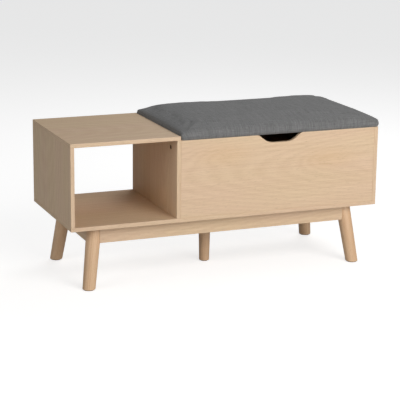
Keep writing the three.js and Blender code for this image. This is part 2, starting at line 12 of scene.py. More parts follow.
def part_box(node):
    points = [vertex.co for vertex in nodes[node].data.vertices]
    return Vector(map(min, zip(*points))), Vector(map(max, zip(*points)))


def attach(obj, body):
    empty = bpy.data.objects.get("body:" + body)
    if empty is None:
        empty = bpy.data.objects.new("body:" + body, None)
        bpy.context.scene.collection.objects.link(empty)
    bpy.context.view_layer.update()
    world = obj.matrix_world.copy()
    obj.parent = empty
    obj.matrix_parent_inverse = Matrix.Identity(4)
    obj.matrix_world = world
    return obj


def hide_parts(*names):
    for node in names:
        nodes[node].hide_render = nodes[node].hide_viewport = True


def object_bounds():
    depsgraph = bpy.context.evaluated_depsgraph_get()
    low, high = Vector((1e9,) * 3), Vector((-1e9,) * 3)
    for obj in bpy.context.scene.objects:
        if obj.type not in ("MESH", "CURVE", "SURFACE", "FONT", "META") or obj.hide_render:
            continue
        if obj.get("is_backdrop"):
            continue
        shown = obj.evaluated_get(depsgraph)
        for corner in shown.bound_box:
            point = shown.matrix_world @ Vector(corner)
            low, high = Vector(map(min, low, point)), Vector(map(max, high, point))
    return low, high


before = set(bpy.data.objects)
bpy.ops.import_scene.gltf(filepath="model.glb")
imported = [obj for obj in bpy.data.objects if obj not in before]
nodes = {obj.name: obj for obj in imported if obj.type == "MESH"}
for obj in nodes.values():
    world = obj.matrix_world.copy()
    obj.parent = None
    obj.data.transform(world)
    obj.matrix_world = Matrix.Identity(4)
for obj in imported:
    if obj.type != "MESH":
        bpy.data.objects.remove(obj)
cad_low, cad_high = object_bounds()
mm = 0.001

# ---------------------------------------------------------------- carcass and rails
# Particle board faced with a printed light-oak foil, and edged with the same foil. The boards
# are cut square, butted against each other and held by dowels and cams. The grain runs along
# the bench on the flat boards and the front, and upright on the cubby walls and the right end.


def linear(colour):
    """An sRGB hex colour as linear RGBA."""
    parts = [int(colour[start : start + 2], 16) / 255 for start in (1, 3, 5)]
    return [*(p / 12.92 if p <= 0.04045 else ((p + 0.055) / 1.055) ** 2.4 for p in parts), 1.0]


def add(tree, kind, inputs=None, out=0, **settings):
    """Adds a shader node and returns one of its outputs. Inputs that are outputs are linked."""
    made = tree.nodes.new("ShaderNode" + kind)
    for name, value in settings.items():
        setattr(made, name, value)
    for name, value in (inputs or {}).items():
        if isinstance(value, bpy.types.NodeSocket):
            tree.links.new(value, made.inputs[name])
        else:
            made.inputs[name].default_value = value
    return made.outputs[out]


def new_material(name):
    """An empty node material and its tree."""
    made = bpy.data.materials.new(name)
    made.use_nodes = True
    made.node_tree.nodes.clear()
    return made, made.node_tree


def times(tree, value, factor, plus=0.0):
    """A value times a factor, plus another value. Each may be a number or an output."""
    return add(tree, "Math", {0: value, 1: factor, 2: plus}, operation="MULTIPLY_ADD")


def noise_at(tree, place, size, detail=2, low=0.3, high=0.7):
    """Noise with features of the given (X, Y, Z) size, stretched to run from 0 to 1."""
    scaled = add(
        tree, "VectorMath", {0: place, 1: [1 / length for length in size]}, operation="MULTIPLY"
    )
    value = add(tree, "TexNoise", {"Vector": scaled, "Scale": 1, "Detail": detail}, out="Fac")
    return add(tree, "MapRange", {"Value": value, "From Min": low, "From Max": high})


def mix(tree, share, dark, light):
    """A colour between two, by share."""
    dark, light = (linear(c) if isinstance(c, str) else c for c in (dark, light))
    return add(tree, "Mix", {0: share, 6: dark, 7: light}, out=2, data_type="RGBA")


def surface(tree, colour, roughness, height, strength, depth, **constants):
    """Joins a colour, a roughness and a relief height into the finished material."""
    bump = add(tree, "Bump", {"Height": height, "Strength": strength, "Distance": depth})
    inputs = {"Base Color": colour, "Roughness": roughness, "Normal": bump}
    inputs.update({name.replace("_", " "): value for name, value in constants.items()})
    shader = add(tree, "BsdfPrincipled", inputs)
    tree.links.new(shader, tree.nodes.new("ShaderNodeOutputMaterial").inputs["Surface"])


one_wave = math.tau / 20  # how far apart a wave texture's bands lie at scale 1


def oak_foil(name, grain, across, pith, swirls=()):
    """Satin oak-print foil, read along the grain axis; on the board's ends the edge band's
    grain turns to the across axis. pith is where the middle of the growth rings lies, across
    the board and behind its face, and swirls are (along, across) places of faint knots."""
    made, tree = new_material(name)
    place = add(tree, "TexCoord", out="Object")
    at = add(tree, "SeparateXYZ", {"Vector": place}).node.outputs
    facing = add(tree, "TexCoord", out="Normal")
    facing = add(tree, "VectorMath", {0: facing}, operation="ABSOLUTE")
    facing = add(tree, "SeparateXYZ", {"Vector": facing}).node.outputs
    on_end = add(tree, "Math", {0: facing[grain], 1: 0.7}, operation="GREATER_THAN")
    depth = ({"X", "Y", "Z"} - {grain, across}).pop()
    main = add(tree, "CombineXYZ", {"X": at[grain], "Y": at[across], "Z": at[depth]})
    band = add(tree, "CombineXYZ", {"X": at[across], "Y": at[depth], "Z": at[grain]})
    along = add(tree, "Mix", {0: on_end, 4: main, 5: band}, out=1, data_type="VECTOR")

    # The growth rings: their middle drifts away from the face along the board, so the cut
    # through them shows long nested tongues. Round a knot the cut rises in a low dome.
    tilt = 0.09
    run = add(tree, "SeparateXYZ", {"Vector": along}).node.outputs
    sink = times(tree, run["X"], tilt, pith[1])
    warmth = 0.0
    knot_length, knot_width, knot_rise = 95 * mm, 34 * mm, 11 * mm
    for knot_x, knot_y in swirls:
        offset = add(tree, "VectorMath", {0: along, 1: (knot_x, knot_y, 0)}, operation="SUBTRACT")
        shares = (1 / knot_length, 1 / knot_width, 0)
        offset = add(tree, "VectorMath", {0: offset, 1: shares}, operation="MULTIPLY")
        far = add(tree, "VectorMath", {0: offset}, out="Value", operation="LENGTH")
        near = add(
            tree,
            "MapRange",
            {"Value": far, "From Max": 1.6, "To Min": knot_rise, "To Max": 0},
            interpolation_type="SMOOTHERSTEP",
        )
        sink = add(tree, "Math", {0: sink, 1: near}, operation="ADD")
        warmth = times(tree, near, 1 / knot_rise, warmth)
    drawn_out = times(tree, run["X"], 0.07)
    sideways = add(tree, "Math", {0: run["Y"], 1: -pith[0]}, operation="ADD")
    below = add(tree, "Math", {0: sink, 1: run["Z"]}, operation="ADD")
    ring_place = add(tree, "CombineXYZ", {"X": drawn_out, "Y": sideways, "Z": below})
    ring_spacing = 7 * mm
    rings = add(
        tree,
        "TexWave",
        {
            "Vector": ring_place,
            "Scale": one_wave / ring_spacing,
            "Distortion": 1.6,
            "Detail": 1.5,
            "Detail Scale": 0.6,
            "Detail Roughness": 0.4,
        },
        out="Fac",
        wave_type="RINGS",
        rings_direction="X",
    )

    # Streaks, fibres, pores and patches of warmer print: length, width, fine detail, and the
    # band of the noise that shows.
    layers = {
        "streak": (640 * mm, 6 * mm, 2, 0.3, 0.7),
        "fibre": (170 * mm, 2.2 * mm, 2, 0.3, 0.7),
        "pore": (16 * mm, 0.9 * mm, 1, 0.6, 0.72),
        "patch": (420 * mm, 60 * mm, 1, 0.35, 0.65),
    }
    layer = {
        key: noise_at(tree, along, (length, width, width), detail, low, high)
        for key, (length, width, detail, low, high) in layers.items()
    }

    # How dark the print is at each point, from 0 to about 1.
    dark = times(tree, rings, 0.2)
    dark = times(tree, layer["streak"], 0.4, dark)
    dark = times(tree, layer["fibre"], 0.25, dark)
    yellow = mix(tree, dark, "#e5ccac", "#d2b491")
    pink = mix(tree, dark, "#e6cbae", "#d2b192")
    colour = mix(tree, layer["patch"], yellow, pink)
    if swirls:
        colour = mix(tree, times(tree, warmth, 0.3), colour, "#dcb98a")
    colour = mix(tree, times(tree, layer["pore"], 0.35), colour, "#a98a68")
    gloss = add(tree, "MapRange", {"Value": layer["streak"], "To Min": 0.46, "To Max": 0.58})
    relief = times(tree, layer["fibre"], -1)
    relief = times(tree, layer["pore"], -2, relief)
    surface(tree, colour, gloss, relief, 0.5, 0.05 * mm, IOR=1.5)
    return made


# Each board's grain and across axes, where its pith lies, and its knots.
boards = {
    "bottom_panel": ("X", "Y", (0.31, 0.06), ()),
    "cubby_top_panel": ("X", "Y", (-0.02, 0.05), ()),
    "front_panel": ("X", "Z", (0.33, 0.045), ((-0.02, 0.385), (0.33, 0.35))),
    "back_panel": ("X", "Z", (0.28, 0.07), ((0.11, 0.3),)),
    "left_side_panel": ("Z", "Y", (0.06, 0.06), ()),
    "divider_panel": ("Z", "Y", (-0.09, 0.05), ()),
    "right_side_panel": ("Z", "Y", (0.03, 0.05), ()),
    "front_rail": ("X", "Z", (0.1, 0.05), ()),
    "back_rail": ("X", "Z", (0.2, 0.06), ()),
    "left_rail": ("Y", "Z", (0.12, 0.05), ()),
    "right_rail": ("Y", "Z", (0.21, 0.05), ()),
    "centre_rail": ("Y", "Z", (0.15, 0.06), ()),
    "lid_board": ("X", "Y", (0.05, 0.07), ()),
}
for board, (grain, across, pith, swirls) in boards.items():
    nodes[board].data.materials[0] = oak_foil("oak_foil_" + board, grain, across, pith, swirls)


# ---------------------------------------------------------------- seat cushion
# A slab of foam on the lid board under one piece of woven grey melange cloth. The cloth is
# pulled down over the foam, turned under the board and stapled there along its hem, so the
# sides swell a little between the corners and there is no piping or seam on show.


def link(name, mesh):
    """A new object for a mesh, in the scene."""
    made = bpy.data.objects.new(name, mesh)
    bpy.context.scene.collection.objects.link(made)
    return made


def settle(thing):
    """Puts an object's modifiers into its mesh."""
    shaped = thing.evaluated_get(bpy.context.evaluated_depsgraph_get())
    mesh = bpy.data.meshes.new_from_object(shaped)
    thing.modifiers.clear()
    thing.data = mesh
    return thing


def smooth(mesh):
    """Smooth shading on every face."""
    mesh.polygons.foreach_set("use_smooth", [True] * len(mesh.polygons))


def as_mesh(form, name):
    """Ends a form that is being built, as a mesh."""
    mesh = bpy.data.meshes.new(name)
    form.to_mesh(mesh)
    form.free()
    return mesh


def finished(thing, material, body, slot_name, *stands_for):
    """Gives a piece its material, joins it to its body and hides the CAD pieces that it stands
    for. slot_name, the name of its finish, is not used."""
    thing.data.materials.clear()
    thing.data.materials.append(material)
    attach(thing, body)
    if stands_for:
        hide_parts(*stands_for)


cover_low, cover_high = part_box("seat_cover")
seat_middle = (cover_low + cover_high) / 2
seat_half = (cover_high - cover_low) / 2
hem_level = cover_low.z
shoulder_level = hem_level + 22 * mm
crest_level = cover_high.z
corner_radius = 8 * mm
stuffing = 1.5 * mm  # how much lower the unstuffed form is at its crest
hem = 17 * mm
skin = 1.2 * mm

# The cloth in section from the hem to the shoulder: outwards from the lid's outline, and height.
flank = [
    (-hem, hem_level),
    (-11 * mm, hem_level),
    (-6 * mm, hem_level),
    (-2 * mm, hem_level),
    (-0.6 * mm, hem_level + 0.3 * mm),
    (0, hem_level + 1.4 * mm),
    (2.2 * mm, hem_level + 4 * mm),
    (3.8 * mm, hem_level + 8 * mm),
    (4.1 * mm, hem_level + 12 * mm),
    (3 * mm, hem_level + 16 * mm),
    (1.2 * mm, hem_level + 19.5 * mm),
]


def spread(half):
    """Places from -half to half, closer together near the ends, where the cloth turns down."""
    near_end = [0, 1 * mm, 2.5 * mm, 5 * mm, 8.5 * mm, 13 * mm, 18 * mm]
    step = 6 * mm
    inner = half - near_end[-1]
    count = round(2 * inner / step)
    between = [-inner + 2 * inner * i / count for i in range(1, count)]
    return [-half + e for e in near_end] + between + [half - e for e in reversed(near_end)]


def round_corner(x, y, out):
    """Moves a point of the lid's rectangle to its rounded outline, grown by out."""
    inner_x = seat_half.x - corner_radius
    inner_y = seat_half.y - corner_radius
    over_x, over_y = max(0, abs(x) - inner_x), max(0, abs(y) - inner_y)
    away = math.hypot(over_x, over_y)
    if away == 0:
        return x, y
    at_edge = max(over_x, over_y) / corner_radius
    pull = (max(over_x, over_y) + out * at_edge) / away
    return (
        math.copysign(min(abs(x), inner_x) + over_x * pull, x),
        math.copysign(min(abs(y), inner_y) + over_y * pull, y),
    )


def crown(u, v):
    """The height of the foam over its shoulder, as a share of its crest."""
    end_share = max(0, 1 - abs(u) ** 6) ** (1 / 1.6)
    side_share = max(0, 1 - abs(v) ** 4) ** (1 / 1.9)
    return end_share * side_share


def seat_form():
    """The cloth before the foam fills it: a crowned top, its flanks and the hem turned under."""
    form = bmesh.new()
    xs, ys = spread(seat_half.x), spread(seat_half.y)
    top = {}
    for i, x in enumerate(xs):
        for j, y in enumerate(ys):
            share = crown(x / seat_half.x, y / seat_half.y)
            z = shoulder_level + (crest_level - shoulder_level) * share - stuffing * share
            px, py = round_corner(x, y, flank[-1][0])
            top[i, j] = form.verts.new((seat_middle.x + px, seat_middle.y + py, z))
    for i in range(len(xs) - 1):
        for j in range(len(ys) - 1):
            form.faces.new([top[i, j], top[i + 1, j], top[i + 1, j + 1], top[i, j + 1]])
    last_i, last_j = len(xs) - 1, len(ys) - 1
    rim = [(i, 0) for i in range(last_i)] + [(last_i, j) for j in range(last_j)]
    rim += [(i, last_j) for i in range(last_i, 0, -1)] + [(0, j) for j in range(last_j, 0, -1)]
    upper = [top[at] for at in rim]
    for out, z in reversed(flank):
        lower = []
        for i, j in rim:
            px, py = round_corner(xs[i], ys[j], out)
            if out < -corner_radius:
                px = max(-seat_half.x - out, min(seat_half.x + out, xs[i]))
                py = max(-seat_half.y - out, min(seat_half.y + out, ys[j]))
            lower.append(form.verts.new((seat_middle.x + px, seat_middle.y + py, z)))
        for k in range(len(rim)):
            n = (k + 1) % len(rim)
            form.faces.new([lower[k], lower[n], upper[n], upper[k]])
        upper = lower
    bmesh.ops.remove_doubles(form, verts=form.verts, dist=0.01 * mm)
    bmesh.ops.recalc_face_normals(form, faces=form.faces)
    return as_mesh(form, "seat_cushion")


cushion = link("seat_cushion", seat_form())
before = [(vertex.co.copy(), vertex.normal.copy()) for vertex in cushion.data.vertices]
stapled = cushion.vertex_groups.new(name="stapled")
stapled.add(
    [v.index for v in cushion.data.vertices if v.co.z < hem_level + 9 * mm], 1, "REPLACE"
)
cloth = cushion.modifiers.new("cloth", "CLOTH")
cloth.settings.quality = 8
cloth.settings.mass = 0.3
cloth.settings.tension_stiffness = 20
cloth.settings.compression_stiffness = 20
cloth.settings.bending_stiffness = 0.4
cloth.settings.use_pressure = True
cloth.settings.uniform_pressure_force = 4
cloth.settings.vertex_group_mass = "stapled"
cloth.settings.shrink_min = -0.01
cloth.settings.effector_weights.gravity = 0
cloth.collision_settings.use_collision = False
last_frame = 20
for moment in range(1, last_frame + 1):
    bpy.context.scene.frame_set(moment)
settle(cushion)
swell = 5 * mm  # the most that any point of the cloth moves
for vertex, (start, outward) in zip(cushion.data.vertices, before):
    moved = vertex.co - start
    moved -= outward * min(0, moved.dot(outward))  # the foam doesn't give way inwards
    if moved.length > swell:
        moved *= swell / moved.length
    vertex.co = start + moved
# Beside the cubby top the cloth has only a narrow gap, and is squeezed flat in it.
squeezed_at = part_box("cubby_top_panel")[1].x + 0.7 * mm
for vertex in cushion.data.vertices:
    vertex.co.x = max(vertex.co.x, squeezed_at)
fine = cushion.modifiers.new("fine", "SUBSURF")
fine.levels = 1
settle(cushion)

# The hem is notched where a hinge leaf lies.
shaping = bmesh.new()
shaping.from_mesh(cushion.data)
leaf_level = hem_level + 1.9 * mm
leaf_rooms = []
for side in ("left", "right"):
    leaf_low, leaf_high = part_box("hinge_lid_leaf_" + side)
    leaf_rooms.append((leaf_low.x - 0.5 * mm, leaf_high.x + 0.5 * mm))
edges_of_rooms = [((x, 0, 0), (1, 0, 0)) for room in leaf_rooms for x in room]
for point, direction in [((0, 0, leaf_level), (0, 0, 1)), *edges_of_rooms]:
    low = [
        face
        for face in shaping.faces
        if face.calc_center_median().z < leaf_level + 6 * mm
        and face.calc_center_median().y > seat_middle.y
    ]
    parts = low + list({e for f in low for e in f.edges}) + list({v for f in low for v in f.verts})
    bmesh.ops.bisect_plane(shaping, geom=parts, plane_co=point, plane_no=direction)


def is_at_leaf(face):
    middle = face.calc_center_median()
    at_back = middle.y > seat_middle.y + seat_half.y - hem - 1 * mm
    return (
        at_back
        and middle.z < leaf_level
        and any(start < middle.x < end for start, end in leaf_rooms)
    )


gone = [face for face in shaping.faces if is_at_leaf(face)]
bmesh.ops.delete(shaping, geom=gone, context="FACES")
shaping.to_mesh(cushion.data)
shaping.free()
thick = cushion.modifiers.new("thick", "SOLIDIFY")
thick.thickness = skin
thick.offset = -1
settle(cushion)


def grey_melange():
    """Plain-woven polyester in grey melange: light and dark threads cross, and slubs run along
    both ways, so up close it is speckled and from afar it is faintly streaked. Matt, with the
    soft edge light of its fibres. The threads are drawn 1.6 mm apart, twice the real spacing."""
    made, tree = new_material("grey_melange_cloth")
    place = add(tree, "TexCoord", out="Object")
    at = add(tree, "SeparateXYZ", {"Vector": place}).node.outputs
    # Distances along the cloth itself: across the top, then down the sides.
    drop = add(tree, "Math", {0: crest_level, 1: at["Z"]}, operation="SUBTRACT")
    along = {}
    spans = {"X": (cover_low.x, cover_high.x), "Y": (cover_low.y, cover_high.y)}
    for axis, (start, end) in spans.items():
        ends = {"From Min": start, "From Max": end, "To Min": -1, "To Max": 1}
        turn = add(tree, "MapRange", {"Value": at[axis], **ends})
        turn = add(tree, "Math", {0: turn, 1: 9}, operation="POWER")
        along[axis] = times(tree, drop, turn, at[axis])
    cloth_place = add(tree, "CombineXYZ", {"X": along["X"], "Y": along["Y"]})

    def both_ways(length, width, detail):
        """Noise drawn out along the weft and along the warp, added together."""
        weft = noise_at(tree, cloth_place, (length, width, 1), detail, 0, 1)
        warp = noise_at(tree, cloth_place, (width, length, 1), detail, 0, 1)
        return add(tree, "Math", {0: weft, 1: warp}, operation="ADD")

    thread = 1.6 * mm
    specks = both_ways(14 * mm, thread, 2)
    slubs = both_ways(90 * mm, 2 * thread, 3)
    waves = []
    for axis in ("X", "Y"):
        wave = add(
            tree,
            "TexWave",
            {"Vector": cloth_place, "Scale": one_wave / thread, "Distortion": 0.4},
            out="Fac",
            wave_type="BANDS",
            bands_direction=axis,
        )
        waves.append(wave)
    light = times(tree, specks, 0.9, times(tree, slubs, 1.1))
    light = add(tree, "MapRange", {"Value": light, "From Min": 1.35, "From Max": 2.65})
    colour = mix(tree, light, "#555657", "#8c8d8e")
    relief = times(tree, specks, 0.8, times(tree, *waves))
    sheen = {"Sheen_Weight": 0.1, "Sheen_Roughness": 0.5}
    surface(tree, colour, 0.92, relief, 0.6, 0.35 * mm, IOR=1.45, **sheen)
    return made


smooth(cushion.data)
finished(cushion, grey_melange(), "lid", "grey_fabric", "seat_cover", "seat_foam")


# ---------------------------------------------------------------- legs and glides
# Five turned beech legs with a clear satin lacquer. The corner legs lean outward, are notched
# round the ends of the rails, and every leg stands on a moulded nylon glide nailed to its foot.


def turned(profile, sides):
    """A mesh made by turning (radius, height) points about Z. Its ends are closed."""
    made = bmesh.new()
    rings = []
    for radius, height in profile:
        if radius == 0:
            rings.append([made.verts.new((0, 0, height))] * sides)
            continue
        turns = [math.tau * k / sides for k in range(sides)]
        rings.append(
            [made.verts.new((radius * math.cos(t), radius * math.sin(t), height)) for t in turns]
        )
    for lower, upper in zip(rings, rings[1:]):
        for k in range(sides):
            n = (k + 1) % sides
            corners = list(dict.fromkeys([lower[k], lower[n], upper[n], upper[k]]))
            if len(corners) > 2:
                made.faces.new(corners)
    bmesh.ops.recalc_face_normals(made, faces=made.faces)
    return as_mesh(made, "turned")


def block(low, high):
    """The mesh of a box between two corners, for cutting with."""
    made = bmesh.new()
    bmesh.ops.create_cube(made, size=1)
    middle = (Vector(low) + Vector(high)) / 2
    size = Vector(high) - Vector(low)
    made.transform(Matrix.Translation(middle) @ Matrix.Diagonal((*size, 1)))
    return as_mesh(made, "block")


def carve(thing, *tools, operation="DIFFERENCE"):
    """Cuts an object with tool meshes, or keeps only what lies inside them."""
    holders = [link("tool", tool) for tool in tools]
    for holder in holders:
        modifier = thing.modifiers.new("carve", "BOOLEAN")
        modifier.operation = operation
        modifier.solver = "EXACT"
        modifier.object = holder
    settle(thing)
    for holder in holders:
        bpy.data.objects.remove(holder)
    return thing


def crisp(thing):
    """Smooth shading, with the sharper edges kept and the flat faces left flat."""
    smooth(thing.data)
    thing.data.set_sharp_from_angle(angle=math.radians(32))
    even = thing.modifiers.new("even", "WEIGHTED_NORMAL")
    even.keep_sharp = True
    return settle(thing)


def turned_beech(name, top, lean):
    """Clear-lacquered beech: growth rings round a pith beside the leg make long nested lines
    down it, with fine fibres and the short dark flecks of the rays. A satin sheen."""
    made, tree = new_material(name)
    place = add(tree, "TexCoord", out="Object")
    # The grain runs down the leg's own axis, which leans by this much for each metre of drop.
    height = add(tree, "SeparateXYZ", {"Vector": place}).node.outputs["Z"]
    shift = add(tree, "CombineXYZ", {"X": height, "Y": height})
    shift = add(tree, "VectorMath", {0: shift, 1: (*lean, 0)}, operation="MULTIPLY")
    upright = add(tree, "VectorMath", {0: place, 1: shift}, operation="ADD")
    pith = (top[0] + 27 * mm, top[1] - 19 * mm, 0)
    about_pith = add(tree, "VectorMath", {0: upright, 1: pith}, operation="SUBTRACT")
    flat = add(tree, "VectorMath", {0: about_pith, 1: (1, 1, 0.06)}, operation="MULTIPLY")
    ring_spacing = 4.5 * mm
    rings = add(
        tree,
        "TexWave",
        {"Vector": flat, "Scale": one_wave / ring_spacing, "Distortion": 1.2, "Detail": 1},
        out="Fac",
        wave_type="RINGS",
        rings_direction="Z",
    )
    fibre = noise_at(tree, about_pith, (1.1 * mm, 1.1 * mm, 60 * mm))
    fleck = noise_at(tree, about_pith, (0.8 * mm, 0.8 * mm, 4 * mm), 1, 0.62, 0.74)
    tone = noise_at(tree, about_pith, (30 * mm, 30 * mm, 200 * mm), 1)
    dark = times(tree, rings, 0.3)
    dark = times(tree, fibre, 0.35, dark)
    dark = times(tree, tone, 0.25, dark)
    colour = mix(tree, dark, "#e9c9a6", "#d3aa83")
    share = times(tree, fleck, 0.45)
    colour = mix(tree, share, colour, "#a87f5c")
    gloss = add(tree, "MapRange", {"Value": fibre, "To Min": 0.4, "To Max": 0.52})
    surface(tree, colour, gloss, fibre, 0.3, 0.04 * mm, IOR=1.5, Coat_Weight=0.15)
    return made


def moulded_nylon():
    """Black moulded nylon: fine spark-eroded grain, scuffed paler on the part that slides."""
    made, tree = new_material("moulded_nylon")
    place = add(tree, "TexCoord", out="Object")
    grain = noise_at(tree, place, (0.25 * mm, 0.25 * mm, 0.25 * mm))
    scuff = noise_at(tree, place, (9 * mm, 1.2 * mm, 9 * mm), 3, 0.5, 0.8)
    colour = mix(tree, scuff, "#1f1f21", "#4a4a4a")
    rough = add(tree, "MapRange", {"Value": grain, "To Min": 0.5, "To Max": 0.68})
    surface(tree, colour, rough, grain, 0.4, 0.05 * mm, IOR=1.53)
    return made


def arc(radius, middle, start, end, steps):
    """Points round part of a circle in a (radius, height) profile, by degrees."""
    turns = [math.radians(start + (end - start) * k / steps) for k in range(steps + 1)]
    return [(middle[0] + radius * math.cos(t), middle[1] + radius * math.sin(t)) for t in turns]


nylon = moulded_nylon()
rail_gap = 0.3 * mm
rail_end_to_leg = 10 * mm
foot_rounding = 1.5 * mm
foot_margin = 3 * mm
leg_places = {"centre": (0, 0)}
for depth_name, side_y in (("front", -1), ("back", 1)):
    for side_name, side_x in (("left", -1), ("right", 1)):
        leg_places[depth_name + "_" + side_name] = (side_x, side_y)
for name, (side_x, side_y) in leg_places.items():
    glide_low, glide_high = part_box(name + "_glide")
    foot = (glide_low + glide_high) / 2
    foot_level = glide_high.z
    glide_radius = (glide_high.x - glide_low.x) / 2
    foot_radius = glide_radius + foot_margin
    top_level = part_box(name + "_leg")[1].z
    if name == "centre":
        top_radius = 19 * mm
        top = (0, 0)
    else:
        top_radius = 22.5 * mm
        top_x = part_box("front_rail")[1].x + rail_end_to_leg
        top_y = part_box("left_rail")[1].y + rail_end_to_leg
        top = (side_x * top_x, side_y * top_y)
    profile = [(0, foot_level), (foot_radius * 0.5, foot_level)]
    profile += arc(
        foot_rounding, (foot_radius - foot_rounding, foot_level + foot_rounding), -90, 0, 5
    )
    taper_start = foot_level + foot_rounding
    for k in range(1, 13):
        share = k / 12
        radius = foot_radius + (top_radius - foot_radius) * share
        profile.append((radius, taper_start + (top_level - taper_start) * share))
    profile.append((0, top_level))
    shape = turned(profile, 72)
    lean = ((foot.x - top[0]) / top_level, (foot.y - top[1]) / top_level)
    for vertex in shape.vertices:
        drop = top_level - vertex.co.z
        vertex.co.x += top[0] + lean[0] * drop
        vertex.co.y += top[1] + lean[1] * drop
    leg = link(name + "_turned_leg", shape)
    if name != "centre":
        # The notches: room for the long rail and for the side rail, up past the leg's top.
        depth_name, side_name = name.split("_")
        long_low, long_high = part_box(depth_name + "_rail")
        side_low, side_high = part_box(side_name + "_rail")
        past_rail = 23 * mm  # the wood outside the rail is cut away too
        above = top_level + 1 * mm
        long_in, long_out = sorted([long_low.y, long_high.y], key=abs)
        side_in, side_out = sorted([side_low.x, side_high.x], key=abs)
        ys = sorted([long_in - side_y * rail_gap, long_out + side_y * past_rail])
        xs = sorted([0, side_x * (long_high.x + rail_gap)])
        long_room = block((xs[0], ys[0], long_low.z - rail_gap), (xs[1], ys[1], above))
        ys = sorted([0, side_y * (side_high.y + rail_gap)])
        xs = sorted([side_in - side_x * rail_gap, side_out + side_x * past_rail])
        side_room = block((xs[0], ys[0], side_low.z - rail_gap), (xs[1], ys[1], above))
        carve(leg, long_room, side_room)
    beech = turned_beech("turned_beech_" + name, top, lean)
    finished(crisp(leg), beech, "carcass", "turned_wood", name + "_leg")

    # The glide: a disc with a rounded rim and a dimple over its nail.
    dimple = 2.5 * mm
    profile = [(0, 0.9 * mm), (dimple * 0.6, 0.8 * mm), (dimple, 0.25 * mm), (dimple + 0.6 * mm, 0)]
    profile += arc(0.8 * mm, (glide_radius - 0.8 * mm, 0.8 * mm), -90, 0, 5)
    profile += [(glide_radius, foot_level), (0, foot_level)]
    shape = turned(profile, 48)
    shape.transform(Matrix.Translation((foot.x, foot.y, 0)))
    glide = link(name + "_nylon_glide", shape)
    finished(crisp(glide), nylon, "carcass", "glide_plastic", name + "_glide")


# ---------------------------------------------------------------- cam locks
# Die-cast zinc cams, each in its bore in a cubby wall, with a cross for the screwdriver. They
# hold the cubby top's bolts. Their faces lie a little below the board's, so they look dark, and
# their zinc colour is darkened as painted shade for the shade inside the bore.


def turn_to(place, direction):
    """The matrix that carries a turned mesh's foot to a place, and its axis to a direction."""
    towards = Vector(direction).normalized()
    return Matrix.Translation(place) @ towards.to_track_quat("Z", "Y").to_matrix().to_4x4()


def cross_tool(half_length, half_width, depth, tip):
    """A mesh to cut a cross recess into the face at height 0 of a turned piece, downwards. tip
    is how much of its length is left at the bottom."""
    made = bmesh.new()
    a, b = half_length, half_width
    outline = [(a, -b), (a, b), (b, b), (b, a), (-b, a), (-b, b)]
    outline += [(-x, -y) for x, y in outline]
    above = [made.verts.new((x, y, 0.5 * mm)) for x, y in outline]
    below = [made.verts.new((x * tip, y * 0.8, -depth)) for x, y in outline]
    made.faces.new(above)
    made.faces.new(list(reversed(below)))
    for k in range(len(outline)):
        n = (k + 1) % len(outline)
        made.faces.new([above[k], below[k], below[n], above[n]])
    bmesh.ops.recalc_face_normals(made, faces=made.faces)
    return as_mesh(made, "cross")


def shade_darkened_zinc():
    """Bronze-toned die-cast zinc: dull, with the fine orange-peel of a casting. Both of its
    colours are darkened as painted shade for the shade inside a cam's bore, and it is
    blotched at random between them."""
    made, tree = new_material("shade_darkened_zinc")
    place = add(tree, "TexCoord", out="Object")
    peel = noise_at(tree, place, (0.7 * mm, 0.7 * mm, 0.7 * mm), 3)
    # Painted shade: the two zinc colours below are darker than bare zinc and stand in for the shade
    # inside the cam's bore. The noise only blotches them at random.
    blotches = noise_at(tree, place, (3 * mm, 3 * mm, 3 * mm), 2)
    colour = mix(tree, blotches, "#4b3d30", "#75634f")
    rough = add(tree, "MapRange", {"Value": peel, "To Min": 0.45, "To Max": 0.65})
    surface(tree, colour, rough, peel, 0.4, 0.08 * mm, Metallic=0.9)
    return made


cast = shade_darkened_zinc()
for wall, inward in (("left", -1), ("divider", 1)):
    for end in ("front", "back"):
        node = "cam_lock_" + wall + "_" + end
        cam_low, cam_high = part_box(node)
        radius = (cam_high.z - cam_low.z) / 2
        length = cam_high.x - cam_low.x
        below = 0.8 * mm  # the cam's face lies this far inside the board's
        profile = [(0, -length), (radius, -length), (radius, -below - 0.5 * mm)]
        profile += [(radius - 0.5 * mm, -below), (radius * 0.86, -below)]
        profile += [(radius * 0.8, -below - 0.35 * mm), (0, -below - 0.35 * mm)]
        cam = link(node + "_cast", turned(profile, 48))
        carve(cam, cross_tool(4.6 * mm, 0.85 * mm, 3 * mm, 0.8))
        mouth = cam_high.x if inward < 0 else cam_low.x
        middle_y, middle_z = (cam_low.y + cam_high.y) / 2, (cam_low.z + cam_high.z) / 2
        cam.data.transform(turn_to((mouth, middle_y, middle_z), (-inward, 0, 0)))
        finished(crisp(cam), cast, "carcass", "zinc_steel", node)


# ---------------------------------------------------------------- hinges
# Two butt hinges of zinc-plated steel strip, curled round a pin: one leaf on the back of the
# storage box, the other under the lid board. Countersunk cross-head screws hold the leaves.


